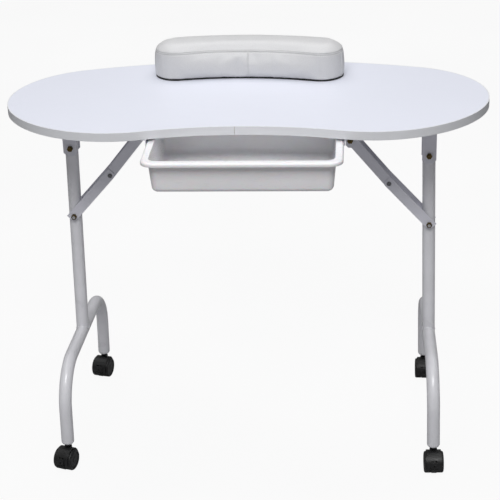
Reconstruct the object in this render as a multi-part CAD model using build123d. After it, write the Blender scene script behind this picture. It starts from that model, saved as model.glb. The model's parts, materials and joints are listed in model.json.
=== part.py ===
"""Folding manicure table: kidney-shaped top, T-leg frames on hooded casters, hanging drawer, wrist rest.

Frame: millimetres, +Z up, +X along the table's length, -Y towards the notch and the drawer.
Origin: on the floor, below the middle of the tabletop.
"""
from build123d import *
import math
import os

# ---- tabletop -------------------------------------------------------------
TOP_LENGTH = 920.0
TOP_DEPTH = 428.5
TOP_HEIGHT = 720.0          # floor to work surface
TOP_THICKNESS = 16.0
LAMINATE = 0.8              # white sheet on the work surface
BACKING = 0.6               # balancing sheet under the board
BAND = 1.8                  # thickness of the edge band
BAND_GAP = 0.5              # open butt joint of the edge band
BAND_GAP_X = -11.0
SIDE_RADIUS = 181.0         # rounded short ends
BACK_RADIUS = 1079.0        # long shallow back edge
LOBE_RADIUS = 224.5         # front lobes beside the notch
NOTCH_RADIUS = 672.0        # hollow in the front edge
LOBE_START = math.radians(-30.0)
UNDERSIDE = TOP_HEIGHT - TOP_THICKNESS

# ---- leg frames and braces --------------------------------------------------
TUBE_R = 12.7
TUBE_WALL = 1.2
PIVOT_X = 349.4             # leg hinge bolts, from the middle of the table
SPLAY = {"left": 1.523, "right": 1.02}          # degrees, the leg frames lean outwards
PIVOT_DROP = {"left": 87.0, "right": 106.0}     # the right leg folds flat below the left one
BAR_Z = 210.0               # centre line of the foot's cross bar, at the post
FOOT_TOE_OUT = {"left": 2.0, "right": 0.7}      # degrees, front end turned outwards
FOOT_HALF = 190.0           # swivel axis of a caster, from the post
FOOT_BEND = 80.0            # centre-line radius of the foot's bends
FOOT_END_Z = 50.5           # lower end of the foot's tube
FOOT_END_FILLET = 6.0
POST_OVER_PIVOT = 11.0
BRACE_X = {"left": 201.0, "right": 197.0}       # brace hinge bolts under the top
BRACE_ABOVE_PIVOT = 33.5
BRACE_ON_POST = 144.0       # from the leg's hinge bolt down the post to the brace bolt
KNEE_PAST_CENTRE = 2.9
SIDES = {"left": -1, "right": 1}

# ---- brackets --------------------------------------------------------------
EAR_W = 27.5
EAR_UNDER_BOLT = 16.0
EAR_CHAMFER = 7.0
FOOT_PAD = 24.0             # screw flange of a leg bracket, outwards from its ear
LEG_WEB_DROP = 26.0         # the bracket's back web stops this far above the bolt
BRACE_EAR_W = 17.0
BRACE_EAR_UNDER = 15.0
BRACE_EAR_CHAMFER = 5.0
BRACE_PAD = 20.0
EAR_SCREW_X = 9.0

# ---- sheet steel and fasteners ---------------------------------------------
EAR = 2.5                   # bracket sheet
EAR_IN = TUBE_R + 0.8       # inner face of the leg bracket's ears
LINK = 1.5                  # brace sheet
INNER_LINK_IN = 14.0        # inner face of the upper link's flanges
OUTER_LINK_IN = 15.7        # inner face of the lower link's flanges
LINK_BELOW = 8.5            # flange height below the pin line, on the room side
LINK_ABOVE = 11.5
LINK_OVER = 9.0             # flange length past its pin
LINK_ROUND = 7.9            # lower corners of the flanges
LOWER_WEB = (26.0, 56.0)    # from the post's pin; open next to the post and at the knee
UPPER_WEB_FROM_KNEE = 14.0
UPPER_WEB_TO_PIN = 24.0
BOLT_R = 3.0
FIXED_HOLE_R = 3.02
RUNNING_HOLE_R = 3.06
NUT_FLATS = 10.0
NUT_H = 5.0
BOLT_HEAD_R = 5.2
BOLT_HEAD_H = 3.2
BOLT_HEAD_ROUND = 1.4
BOLT_PAST_NUT = 1.5
WASHER_R = 6.0
WASHER_H = 1.0
RIVET_R = 2.5
RIVET_HOLE_R = 2.52
RIVET_HEAD_R = 4.6
RIVET_HEAD_H = 1.3
RIVET_HEAD_ROUND = 0.9
RIVET_COLLAR_H = 1.0        # the inner half's clenched end
LEG_STACK = EAR_IN + EAR    # from the middle of a joint to the face under the bolt's head
BRACE_TOP_STACK = OUTER_LINK_IN + EAR
BRACE_FOOT_STACK = OUTER_LINK_IN + LINK + 0.3
SCREW_R = 1.8
SCREW_HOLE_R = 1.82
SCREW_HEAD_R = 3.6
SCREW_HEAD_H = 1.8
SCREW_HEAD_TAPER = 0.6
CROSS_SLOT = 0.8            # width of a cross recess
SCREW_LENGTH = 11.0

# ---- drawer -----------------------------------------------------------------
DRAWER_W = 357.0
DRAWER_L = 232.0
DRAWER_H = 62.0
DRAWER_X = 9.0
DRAWER_FRONT = -312.0
DRAWER_TOP_GAP = 5.0        # underside to the top of the rim
RIM = 14.0                  # width of the rim, wall included
RIM_T = 2.5
RIM_LIP = 7.0
RIM_ROUND = 4.5
DRAWER_WALL = 2.2
DRAWER_TAPER = 5.5          # degrees
DRAWER_CORNER = 24.0        # of the rim, seen from above
SHELL_CORNER = 18.0         # of the tray below the rim
DRAWER_FLOOR_ROUND = 10.0
DRAWER_Y = DRAWER_FRONT + DRAWER_L / 2
RIM_TOP = UNDERSIDE - DRAWER_TOP_GAP
RUNNER_CLEAR = 0.6          # between the rim's edge and a runner's web
RUNNER_GAP = 0.1            # between the lip and a runner's ledge
RUNNER_SCREWS = (0.12, 0.88)    # along the runner
RUNNER = 1.5
RUNNER_FRONT = -204.0
RUNNER_BACK = -41.0
RUNNER_LEDGE = 8.0
RUNNER_FLANGE = 13.0

# ---- wrist rest --------------------------------------------------------------
REST_CENTRE = (-3.0, 141.0)
REST_YAW = -2.2             # degrees
REST_BEND = 560.0           # radius of its centre line
REST_WIDTH = 91.0
REST_END_X = 144.0          # centre of each round end
REST_HEIGHT = 60.0
REST_BOARD = 4.0
REST_CLOTH = 1.0
REST_INSET = 6.0            # board inside the cover
REST_CLOTH_INSET = 2.5

# ---- casters -----------------------------------------------------------------
WHEEL_R = 21.5
WHEEL_IN = 5.8              # inner face of a wheel, from the middle of the caster
WHEEL_OUT = 19.0
WHEEL_FILLET = 3.2
WHEEL_DISH_R = 17.6         # recess in a wheel's outer face, and the groove inside it
WHEEL_DISH = 1.0
WHEEL_GROOVE = (14.8, 15.8)
WHEEL_GROOVE_DEPTH = 1.4
WHEEL_HUB_R = 5.0
TRAIL = 12.0                # wheel axle in front of the swivel axis
AXLE_Y = -TRAIL
AXLE_R = 2.5
AXLE_END = 2.4              # axle ends this far inside a wheel's outer face
AXLE_RUNNING_R = 2.56
HOOD_OUT = 24.5
HOOD_IN = 22.3
HOOD_HALF = 14.5
HOOD_WEB = 5.2
HOOD_ARC = (-12, 168)       # degrees up from the front horizontal, around the axle
HOOD_SLOT_ANGLE = 31.0
HOOD_SLOT = (1.6, 5.2)      # x from and to, one on each side
BOSS_R = 7.5
BOSS_LOW = 33.0
BOSS_TOP = 45.5
STEM_R = 5.5
STEM_PIN_R = 4.0            # the stem's lower end, inside the hood
STEM_LOW = 27.0
STEM_RUNNING_R = 5.56
FOOT_FLOOR = 2.5            # formed-in end of the foot's tube
FOOT_HOLE_R = 6.2
SOCKET_R = TUBE_R - TUBE_WALL - 0.05
SOCKET_L = 28.0
STEM_TOP = FOOT_END_Z + FOOT_FLOOR + SOCKET_L - 3.0
LEVER_OUT = 26.7
LEVER_TAB_OUT = 29.5
LEVER_HALF = 7.0
LEVER_ARC = (-12, 27)
LEVER_TAB_ARC = (-12, -4)
LEVER_HOLE_R = 1.6
LEVER_HOLE_Z = 26.0
CASTERS = {
    "left_front": ("left", -1, -17.5),
    "left_rear": ("left", 1, -13.0),
    "right_front": ("right", -1, 2.0),
    "right_rear": ("right", 1, 0.0),
}


def save(shape, name):
    """Write one node as parts/NAME.step."""
    shape.label = name
    export_step(shape, f"parts/{name}.step")


def group(solids):
    """Several separate solids that share one node."""
    return Compound(children=list(solids))


def box(x, y, z):
    """A box from three (low, high) pairs."""
    size = [pair[1] - pair[0] for pair in (x, y, z)]
    return Pos(x[0], y[0], z[0]) * Box(*size, align=(Align.MIN, Align.MIN, Align.MIN))


def rod_y(radius, y, x=0.0, z=0.0):
    """A cylinder along Y between two y values."""
    middle = (y[0] + y[1]) / 2
    return Pos(x, middle, z) * Rot(90, 0, 0) * Cylinder(radius, y[1] - y[0])


def rod_z(radius, z, x=0.0, y=0.0):
    """A cylinder along Z between two z values."""
    return Pos(x, y, (z[0] + z[1]) / 2) * Cylinder(radius, z[1] - z[0])


def on_arc(centre, radius, angle):
    return (centre[0] + radius * math.cos(angle), centre[1] + radius * math.sin(angle))


def arc(centre, radius, start, end):
    """An arc edge from one angle to another, both in radians."""
    middle = (start + end) / 2
    return ThreePointArc(*[on_arc(centre, radius, a) for a in (start, middle, end)])


def mirrored(point):
    return (-point[0], point[1])


# ---- tabletop -----------------------------------------------------------------
def top_face(inset):
    """The kidney outline, moved inwards by inset: six tangent arcs."""
    back = (0.0, TOP_DEPTH / 2 - BACK_RADIUS)
    end_x = TOP_LENGTH / 2 - SIDE_RADIUS
    end = (end_x, back[1] + math.sqrt((BACK_RADIUS - SIDE_RADIUS) ** 2 - end_x**2))
    lobe = on_arc(end, SIDE_RADIUS - LOBE_RADIUS, LOBE_START)
    reach = NOTCH_RADIUS + LOBE_RADIUS
    notch = (0.0, lobe[1] - math.sqrt(reach**2 - lobe[0] ** 2))
    end_angle = math.atan2(end[1] - back[1], end[0])
    notch_angle = math.atan2(lobe[1] - notch[1], lobe[0])
    pi = math.pi
    edges = [
        arc(back, BACK_RADIUS - inset, end_angle, pi - end_angle),
        arc(mirrored(end), SIDE_RADIUS - inset, pi - end_angle, pi - LOBE_START),
        arc(mirrored(lobe), LOBE_RADIUS - inset, pi - LOBE_START, 2 * pi - notch_angle),
        arc(notch, NOTCH_RADIUS + inset, pi - notch_angle, notch_angle),
        arc(lobe, LOBE_RADIUS - inset, notch_angle - pi, LOBE_START),
        arc(end, SIDE_RADIUS - inset, LOBE_START, end_angle),
    ]
    return make_face(Wire(edges))


def top_layer(inset, low, high):
    return Pos(0, 0, low) * extrude(top_face(inset), high - low)


def tabletop_core():
    board = top_layer(BAND, UNDERSIDE + BACKING, TOP_HEIGHT - LAMINATE)
    for x, y, _ in screw_places():
        board -= rod_z(SCREW_HOLE_R, (UNDERSIDE, UNDERSIDE + SCREW_LENGTH), x, y)
    return board


def backing_sheet():
    sheet = top_layer(BAND, UNDERSIDE, UNDERSIDE + BACKING)
    for x, y, _ in screw_places():
        sheet -= rod_z(SCREW_HOLE_R, (UNDERSIDE - 1, UNDERSIDE + 1), x, y)
    return sheet


def edge_band():
    band = top_layer(0, UNDERSIDE, TOP_HEIGHT) - top_layer(BAND, UNDERSIDE, TOP_HEIGHT)
    gap = (BAND_GAP_X, BAND_GAP_X + BAND_GAP)
    return band - box(gap, (-TOP_DEPTH / 2, 0), (UNDERSIDE, TOP_HEIGHT))


# ---- brackets and their fasteners ------------------------------------------------
def pivot_z(side):
    return UNDERSIDE - PIVOT_DROP[side]


def brace_z(side):
    return pivot_z(side) + BRACE_ABOVE_PIVOT


def ear(width, bolt_z, under, inner, corner):
    """One hanging ear at y > 0, its lower corners cut off, drilled for the bolt."""
    plate = box((-width / 2, width / 2), (inner, inner + EAR), (bolt_z - under, UNDERSIDE))
    low = plate.edges().filter_by(Axis.Y).group_by(Axis.Z)[0]
    plate = chamfer(low, corner)
    return plate - rod_y(FIXED_HOLE_R, (inner - 1, inner + EAR + 1), 0, bolt_z)


def pad(width, inner, reach, screws_x):
    """The flange screwed to the underside, turned outwards from an ear at y > 0."""
    y = (inner, inner + EAR + reach)
    plate = box((-width / 2, width / 2), y, (UNDERSIDE - EAR, UNDERSIDE))
    for x in screws_x:
        plate -= rod_z(SCREW_HOLE_R, (UNDERSIDE - EAR - 1, UNDERSIDE + 1), x, pad_screw_y(inner, reach))
    return plate


def pad_screw_y(inner, reach):
    return inner + EAR + reach / 2


def leg_bracket(side):
    z = pivot_z(side)
    half = ear(EAR_W, z, EAR_UNDER_BOLT, EAR_IN, EAR_CHAMFER)
    half += pad(EAR_W, EAR_IN, FOOT_PAD, (-EAR_SCREW_X, EAR_SCREW_X))
    web_x = (EAR_W / 2 - EAR, EAR_W / 2)
    web = box(web_x, (-EAR_IN, EAR_IN), (z + LEG_WEB_DROP, UNDERSIDE))
    bracket = half + mirror(half, Plane.XZ) + web
    turn = 180 if SIDES[side] < 0 else 0
    return Pos(SIDES[side] * PIVOT_X, 0, 0) * Rot(0, 0, turn) * bracket


def brace_bracket(side):
    half = ear(BRACE_EAR_W, brace_z(side), BRACE_EAR_UNDER, OUTER_LINK_IN, BRACE_EAR_CHAMFER)
    half += pad(BRACE_EAR_W, OUTER_LINK_IN, BRACE_PAD, (0.0,))
    bridge = box((-BRACE_EAR_W / 2, BRACE_EAR_W / 2), (-OUTER_LINK_IN, OUTER_LINK_IN),
                 (UNDERSIDE - EAR, UNDERSIDE))
    return Pos(SIDES[side] * BRACE_X[side], 0, 0) * (half + mirror(half, Plane.XZ) + bridge)


def screw_places():
    """x, y and sheet thickness of every wood screw in the underside."""
    places = []
    leg_y = pad_screw_y(EAR_IN, FOOT_PAD)
    brace_y = pad_screw_y(OUTER_LINK_IN, BRACE_PAD)
    for side, sign in SIDES.items():
        for y_sign in (-1, 1):
            places += [(sign * PIVOT_X + x, y_sign * leg_y, EAR) for x in (-EAR_SCREW_X, EAR_SCREW_X)]
            places.append((sign * BRACE_X[side], y_sign * brace_y, EAR))
        places += [(runner_screw_x(sign), y, RUNNER) for y in runner_screw_ys()]
    return places


def cross_recess(width, depth):
    """Two crossed slots centred on the origin, to cut from a screw's head."""
    return Box(width, CROSS_SLOT, depth) + Box(CROSS_SLOT, width, depth)


def underside_screws():
    """Round-head wood screws through the brackets and runners into the board."""
    screws = []
    for x, y, sheet in screw_places():
        head_top = UNDERSIDE - sheet
        shank = rod_z(SCREW_R, (head_top, UNDERSIDE + SCREW_LENGTH - 1), x, y)
        cone = Cone(SCREW_HEAD_R * SCREW_HEAD_TAPER, SCREW_HEAD_R, SCREW_HEAD_H)
        head = Pos(x, y, head_top - SCREW_HEAD_H / 2) * cone
        recess = Pos(x, y, head_top - SCREW_HEAD_H) * cross_recess(SCREW_HEAD_R, SCREW_HEAD_H)
        screws.append(shank + head - recess)
    return group(screws)


def hex_nut(y_face, x, z):
    """A hex nut bored for the bolt, its inner face at y_face, standing towards -Y."""
    circumradius = NUT_FLATS / math.sqrt(3)
    nut = extrude(RegularPolygon(circumradius, 6), NUT_H)
    nut -= Cylinder(FIXED_HOLE_R, 3 * NUT_H)
    return Pos(x, y_face, z) * Rot(90, 0, 0) * nut


def bolt(stack, x, z):
    """A pan-head bolt along Y: head behind the stack (+Y), threaded end in front of it (-Y)."""
    head_y = (stack + WASHER_H, stack + WASHER_H + BOLT_HEAD_H)
    shank = rod_y(BOLT_R, (-stack - NUT_H - BOLT_PAST_NUT, stack), x, z)
    washer = rod_y(WASHER_R, (stack, head_y[0]), x, z)
    head = rod_y(BOLT_HEAD_R, head_y, x, z)
    head = fillet(head.edges().filter_by(GeomType.CIRCLE).group_by(Axis.Y)[-1], BOLT_HEAD_ROUND)
    recess = Pos(x, head_y[1], z) * Rot(90, 0, 0) * cross_recess(BOLT_HEAD_R, BOLT_HEAD_H)
    return shank + washer + head - recess


def hinge_bolts():
    """The four hinge bolts held by the brackets."""
    bolts = []
    for side, sign in SIDES.items():
        bolts.append(bolt(LEG_STACK, sign * PIVOT_X, pivot_z(side)))
        bolts.append(bolt(BRACE_TOP_STACK, sign * BRACE_X[side], brace_z(side)))
    return group(bolts)


def hinge_nuts():
    nuts = []
    for side, sign in SIDES.items():
        nuts.append(hex_nut(-LEG_STACK, sign * PIVOT_X, pivot_z(side)))
        nuts.append(hex_nut(-BRACE_TOP_STACK, sign * BRACE_X[side], brace_z(side)))
    return group(nuts)


# ---- leg frames ---------------------------------------------------------------------
def post_length(side):
    """From the hinge bolt to the centre line of the foot's cross bar, along the post."""
    return (pivot_z(side) - BAR_Z) / math.cos(math.radians(SPLAY[side]))


def on_post(side, distance):
    """x and z of a point on the post's axis, this far below the hinge bolt."""
    angle = math.radians(SPLAY[side])
    x = SIDES[side] * (PIVOT_X + distance * math.sin(angle))
    return x, pivot_z(side) - distance * math.cos(angle)


def post(side):
    """The upright tube, its foot coped to sit on the cross bar."""
    z = (-post_length(side), POST_OVER_PIVOT)
    tube = rod_z(TUBE_R, z) - rod_z(TUBE_R - TUBE_WALL, (z[0] - 1, z[1] + 1))
    tube -= rod_y(RUNNING_HOLE_R, (-TUBE_R - 1, TUBE_R + 1), 0, 0)
    tube -= rod_y(FIXED_HOLE_R, (-TUBE_R - 1, TUBE_R + 1), 0, -BRACE_ON_POST)
    tube = Pos(SIDES[side] * PIVOT_X, 0, pivot_z(side)) * Rot(0, -SIDES[side] * SPLAY[side], 0) * tube
    return tube - foot_place(side) * rod_y(TUBE_R, (-2 * TUBE_R, 2 * TUBE_R))


def foot_place(side):
    """Moves a foot drawn along Y at the origin to its place under the post, in the leg frame's plane."""
    x, z = on_post(side, post_length(side))
    toe = FOOT_TOE_OUT[side] * SIDES[side]
    return Pos(x, 0, z) * Rot(0, -SIDES[side] * SPLAY[side], 0) * Rot(0, 0, toe)


def swivel_point(side, end):
    """x and y of a caster's plumb swivel axis: through the middle of the foot's lower end."""
    low = foot_place(side) * Pos(0, end * FOOT_HALF, FOOT_END_Z - BAR_Z)
    return low.position.X, low.position.Y


def foot_path(end_z):
    """Centre line of the foot, open downwards, around the origin."""
    low = end_z - BAR_Z
    run = FOOT_HALF - FOOT_BEND
    diagonal = FOOT_BEND * (1 - math.sqrt(0.5))
    corner = (FOOT_HALF - diagonal, -diagonal)
    near = [(0, -FOOT_HALF, low), (0, -FOOT_HALF, -FOOT_BEND), (0, -corner[0], corner[1]), (0, -run, 0)]
    far = [(x, -y, z) for x, y, z in reversed(near)]
    return Wire([
        Line(near[0], near[1]),
        ThreePointArc(*near[1:]),
        Line(near[3], far[0]),
        ThreePointArc(*far[:3]),
        Line(far[2], far[3]),
    ])


def swept(radius, end_z):
    section = Plane(origin=(0, -FOOT_HALF, end_z - BAR_Z), z_dir=(0, 0, 1)) * Circle(radius)
    return sweep(section, path=foot_path(end_z))


def foot(side):
    """The bent tube with formed-in ends, each drilled for a caster stem."""
    outer = swept(TUBE_R, FOOT_END_Z)
    ends = outer.edges().filter_by(GeomType.CIRCLE).group_by(Axis.Z)[0]
    outer = fillet(ends, FOOT_END_FILLET)
    tube = foot_place(side) * (outer - swept(TUBE_R - TUBE_WALL, FOOT_END_Z + FOOT_FLOOR))
    for end in (-1, 1):
        tube -= rod_z(FOOT_HOLE_R, (FOOT_END_Z - 2, FOOT_END_Z + 2 * FOOT_FLOOR), *swivel_point(side, end))
    return tube


def stem_sockets(side):
    """Plastic sockets inside the foot's ends, bored plumb for the caster stems."""
    low = FOOT_END_Z + FOOT_FLOOR
    sockets = []
    for end in (-1, 1):
        sleeve = rod_z(SOCKET_R, (low - BAR_Z, low - BAR_Z + SOCKET_L), 0, end * FOOT_HALF)
        bore = rod_z(STEM_RUNNING_R, (low - 2, low + SOCKET_L + 2), *swivel_point(side, end))
        sockets.append(foot_place(side) * sleeve - bore)
    return group(sockets)


# ---- braces ---------------------------------------------------------------------------
def brace_points(side):
    """Lower pin, knee and upper pin of a brace, as (x, z)."""
    sign = SIDES[side]
    low = on_post(side, BRACE_ON_POST)
    high = (sign * BRACE_X[side], brace_z(side))
    dx, dz = high[0] - low[0], high[1] - low[1]
    length = math.hypot(dx, dz)
    knee_x = (low[0] + high[0]) / 2 - sign * KNEE_PAST_CENTRE * dz / length
    knee_z = (low[1] + high[1]) / 2 - KNEE_PAST_CENTRE * abs(dx) / length
    return low, (knee_x, knee_z), high


def link(length, inner, web, hole_start, hole_end):
    """A folded channel link along +X from pin to pin, open upwards; web is an (x0, x1) pair."""
    outer = inner + LINK
    flange = box((-LINK_OVER, length + LINK_OVER), (inner, outer), (-LINK_BELOW, LINK_ABOVE))
    low = flange.edges().filter_by(Axis.Y).group_by(Axis.Z)[0]
    flange = fillet(low, LINK_ROUND)
    for x, radius in ((0, hole_start), (length, hole_end)):
        flange -= rod_y(radius, (inner - 1, outer + 1), x)
    bottom = box(web, (-outer, outer), (-LINK_BELOW, -LINK_BELOW + LINK))
    return flange + mirror(flange, Plane.XZ) + bottom


def placed_link(side, shape, start, end):
    """Puts a link drawn along +X between two (x, z) points, its open side towards the leg hinge."""
    angle = math.degrees(math.atan2(end[1] - start[1], end[0] - start[0]))
    roll = 180 if SIDES[side] > 0 else 0
    return Pos(start[0], 0, start[1]) * Rot(0, -angle, 0) * Rot(roll, 0, 0) * shape


def link_length(side):
    low, knee, _ = brace_points(side)
    return math.hypot(knee[0] - low[0], knee[1] - low[1])


def lower_link(side):
    low, knee, _ = brace_points(side)
    shape = link(link_length(side), OUTER_LINK_IN, LOWER_WEB, RUNNING_HOLE_R, RIVET_HOLE_R)
    return placed_link(side, shape, low, knee)


def upper_link(side):
    _, knee, high = brace_points(side)
    length = link_length(side)
    web = (UPPER_WEB_FROM_KNEE, length - UPPER_WEB_TO_PIN)
    shape = link(length, INNER_LINK_IN, web, RIVET_HOLE_R, RUNNING_HOLE_R)
    return placed_link(side, shape, knee, high)


def rivet_halves(side, flange, head_outwards):
    """The part of both knee rivets that stays in one link's flanges."""
    _, knee, _ = brace_points(side)
    shank = rod_y(RIVET_R, flange, *knee)
    if head_outwards:
        head = rod_y(RIVET_HEAD_R, (flange[1], flange[1] + RIVET_HEAD_H), *knee)
        head = fillet(head.edges().filter_by(GeomType.CIRCLE).group_by(Axis.Y)[-1], RIVET_HEAD_ROUND)
    else:
        head = rod_y(RIVET_HEAD_R, (flange[0] - RIVET_COLLAR_H, flange[0]), *knee)
    half = shank + head
    return group([half, mirror(half, Plane.XZ)])


def outer_rivets(side):
    return rivet_halves(side, (OUTER_LINK_IN, OUTER_LINK_IN + LINK), True)


def inner_rivets(side):
    return rivet_halves(side, (INNER_LINK_IN, INNER_LINK_IN + LINK), False)


def brace_bolt(side):
    return bolt(BRACE_FOOT_STACK, *on_post(side, BRACE_ON_POST))


def brace_nut(side):
    return hex_nut(-BRACE_FOOT_STACK, *on_post(side, BRACE_ON_POST))


# ---- drawer and runners ------------------------------------------------------------------
def drawer_slab(inset, corner, low, high, taper=0.0):
    """A rounded slab of the drawer's outline, narrowing downwards when tapered."""
    face = RectangleRounded(DRAWER_W - 2 * inset, DRAWER_L - 2 * inset, corner)
    slab = extrude(Plane.XY.offset(high) * face, low - high, taper=taper)
    return Pos(DRAWER_X, DRAWER_Y, 0) * slab


def drawer_tray():
    """A moulded tray with tapered walls, rounded floor edge and a rim with a turned-down lip."""
    floor = RIM_TOP - DRAWER_H
    shell_inset = RIM - DRAWER_WALL
    shell = drawer_slab(shell_inset, SHELL_CORNER, floor, RIM_TOP, DRAWER_TAPER)
    shell = fillet(shell.faces().sort_by(Axis.Z)[0].edges(), DRAWER_FLOOR_ROUND)
    rim = drawer_slab(0, DRAWER_CORNER, RIM_TOP - RIM_LIP, RIM_TOP)
    rim = fillet(rim.faces().sort_by(Axis.Z)[-1].edges(), RIM_ROUND)
    under = drawer_slab(RIM_T, DRAWER_CORNER - RIM_T, RIM_TOP - RIM_LIP, RIM_TOP - RIM_T)
    rim -= fillet(under.faces().sort_by(Axis.Z)[-1].edges(), RIM_ROUND - RIM_T)
    hollow = drawer_slab(RIM, SHELL_CORNER - DRAWER_WALL, floor + RIM_T, RIM_TOP, DRAWER_TAPER)
    hollow = fillet(hollow.faces().sort_by(Axis.Z)[0].edges(), DRAWER_FLOOR_ROUND - 1.5)
    return rim + shell - hollow


def runner_web_x(sign):
    """Inner face of a runner's upright web."""
    return DRAWER_X + sign * (DRAWER_W / 2 + RUNNER_CLEAR)


def runner_screw_x(sign):
    return runner_web_x(sign) + sign * (RUNNER + RUNNER_FLANGE / 2)


def runner_screw_ys():
    length = RUNNER_BACK - RUNNER_FRONT
    return [RUNNER_FRONT + length * part for part in RUNNER_SCREWS]


def runner(sign):
    """A Z-shaped rail: flange screwed to the underside, web, and a ledge below the drawer's lip."""
    x = runner_web_x(sign)
    ledge_z = RIM_TOP - RIM_LIP - RUNNER_GAP
    y = (RUNNER_FRONT, RUNNER_BACK)

    def span(a, b):
        return (min(x + sign * a, x + sign * b), max(x + sign * a, x + sign * b))

    rail = box(span(0, RUNNER), y, (ledge_z - RUNNER, UNDERSIDE))
    rail += box(span(0, RUNNER + RUNNER_FLANGE), y, (UNDERSIDE - RUNNER, UNDERSIDE))
    rail += box(span(RUNNER, -RUNNER_LEDGE), y, (ledge_z - RUNNER, ledge_z))
    for screw_y in runner_screw_ys():
        rail -= rod_z(SCREW_HOLE_R, (UNDERSIDE - RUNNER - 1, UNDERSIDE + 1), runner_screw_x(sign), screw_y)
    return rail


# ---- wrist rest --------------------------------------------------------------------------
def rest_slab(inset, low, high):
    """A bean-shaped slab: a bent bar with round ends, hollow side to the front."""
    sag = REST_BEND - math.sqrt(REST_BEND**2 - REST_END_X**2)
    centre = (0.0, -REST_BEND)
    half = REST_WIDTH / 2 - inset
    lean = math.asin(REST_END_X / REST_BEND)
    right, left = math.pi / 2 - lean, math.pi / 2 + lean
    ends = (REST_END_X, -sag), (-REST_END_X, -sag)
    edges = [
        arc(centre, REST_BEND + half, right, left),
        arc(ends[1], half, left, left + math.pi),
        arc(centre, REST_BEND - half, left, right),
        arc(ends[0], half, right - math.pi, right),
    ]
    slab = extrude(make_face(Wire(edges)), high - low)
    return Pos(*REST_CENTRE, TOP_HEIGHT + low) * Rot(0, 0, REST_YAW) * slab


def cushion_pad():
    """Foam and cover, drawn down around the board's edge."""
    pocket = rest_slab(REST_INSET, REST_CLOTH, REST_CLOTH + REST_BOARD)
    return rest_slab(0, REST_CLOTH, REST_HEIGHT) - pocket


def cushion_board():
    return rest_slab(REST_INSET, REST_CLOTH, REST_CLOTH + REST_BOARD)


def cushion_bottom_cloth():
    return rest_slab(REST_CLOTH_INSET, 0, REST_CLOTH)


# ---- casters --------------------------------------------------------------------------------
def ring_sector(inner, outer, half, start, end):
    """A curved plate around the axle; angles in degrees up from the front horizontal."""
    plane = Plane(origin=(-half, AXLE_Y, WHEEL_R), x_dir=(0, -1, 0), z_dir=(1, 0, 0))
    angles = [math.radians(-a) for a in (start, end)]
    inner_arc = arc((0, 0), inner, angles[0], angles[1])
    outer_arc = arc((0, 0), outer, angles[1], angles[0])
    start_line = Line(outer_arc @ 1, inner_arc @ 0)
    end_line = Line(inner_arc @ 1, outer_arc @ 0)
    face = make_face(Wire([inner_arc, end_line, outer_arc, start_line]))
    return extrude(plane * face, 2 * half)


def rod_x(radius, x, y, z):
    middle = (x[0] + x[1]) / 2
    return Pos(middle, y, z) * Rot(0, 90, 0) * Cylinder(radius, x[1] - x[0])


def hood():
    """Curved cover over both wheels, the web between them and the boss around the stem."""
    cover = ring_sector(HOOD_IN, HOOD_OUT, HOOD_HALF, *HOOD_ARC)
    wheel_space = rod_x(HOOD_IN, (-2 * BOSS_R, 2 * BOSS_R), AXLE_Y, WHEEL_R)
    boss = rod_z(BOSS_R, (BOSS_LOW, BOSS_TOP))
    boss = fillet(boss.faces().sort_by(Axis.Z)[-1].edges(), 1.0)
    web = rod_x(HOOD_IN + 0.2, (-HOOD_WEB, HOOD_WEB), AXLE_Y, WHEEL_R)
    web -= box((-HOOD_WEB, HOOD_WEB), (-3 * WHEEL_R, 3 * WHEEL_R), (-5, 5))
    body = cover + (boss - wheel_space) + web
    body -= rod_z(STEM_PIN_R, (STEM_LOW, BOSS_TOP + 1))
    body -= lever_hole()
    slot_z = WHEEL_R + HOOD_OUT * math.sin(math.radians(HOOD_SLOT_ANGLE))
    slot_y = AXLE_Y - HOOD_OUT * math.cos(math.radians(HOOD_SLOT_ANGLE))
    for sign in (-1, 1):
        x = sorted(sign * edge for edge in HOOD_SLOT)
        body -= box(x, (slot_y - 3, slot_y + 5), (slot_z - 1, slot_z + 1))
    return body - rod_x(AXLE_R, (-HOOD_WEB, HOOD_WEB), AXLE_Y, WHEEL_R)


def stem():
    """Steel stem: a pin held by the hood and a thicker part that turns in the foot's socket."""
    pin = rod_z(STEM_PIN_R, (STEM_LOW, BOSS_TOP))
    top = rod_z(STEM_R, (BOSS_TOP, STEM_TOP))
    return pin + chamfer(top.faces().sort_by(Axis.Z)[-1].edges(), 1.5)


def axle():
    reach = WHEEL_OUT - AXLE_END
    return rod_x(AXLE_R, (-reach, reach), AXLE_Y, WHEEL_R)


def wheel(sign):
    """A round-edged wheel with a dished, grooved outer face and a hub, bored for the axle."""
    dish = WHEEL_OUT - WHEEL_DISH
    groove = (WHEEL_OUT - WHEEL_GROOVE_DEPTH, WHEEL_OUT)
    disc = rod_x(WHEEL_R, (WHEEL_IN, WHEEL_OUT), AXLE_Y, WHEEL_R)
    disc = fillet(disc.edges().filter_by(GeomType.CIRCLE).group_by(Axis.X)[-1], WHEEL_FILLET)
    disc -= rod_x(WHEEL_DISH_R, (dish, WHEEL_OUT + 1), AXLE_Y, WHEEL_R)
    disc -= rod_x(WHEEL_GROOVE[1], groove, AXLE_Y, WHEEL_R) - rod_x(WHEEL_GROOVE[0], groove, AXLE_Y, WHEEL_R)
    disc += rod_x(WHEEL_HUB_R, (dish - 1, WHEEL_OUT - 0.4), AXLE_Y, WHEEL_R)
    disc -= rod_x(AXLE_RUNNING_R, (WHEEL_IN - 1, WHEEL_OUT - AXLE_END + 0.2), AXLE_Y, WHEEL_R)
    return disc if sign > 0 else mirror(disc, Plane.YZ)


def lever_hole():
    """A pin hole through the lever and into the hood behind it."""
    front = AXLE_Y - HOOD_OUT
    return rod_y(LEVER_HOLE_R, (front - 10, front + 7), 0, LEVER_HOLE_Z)


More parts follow.
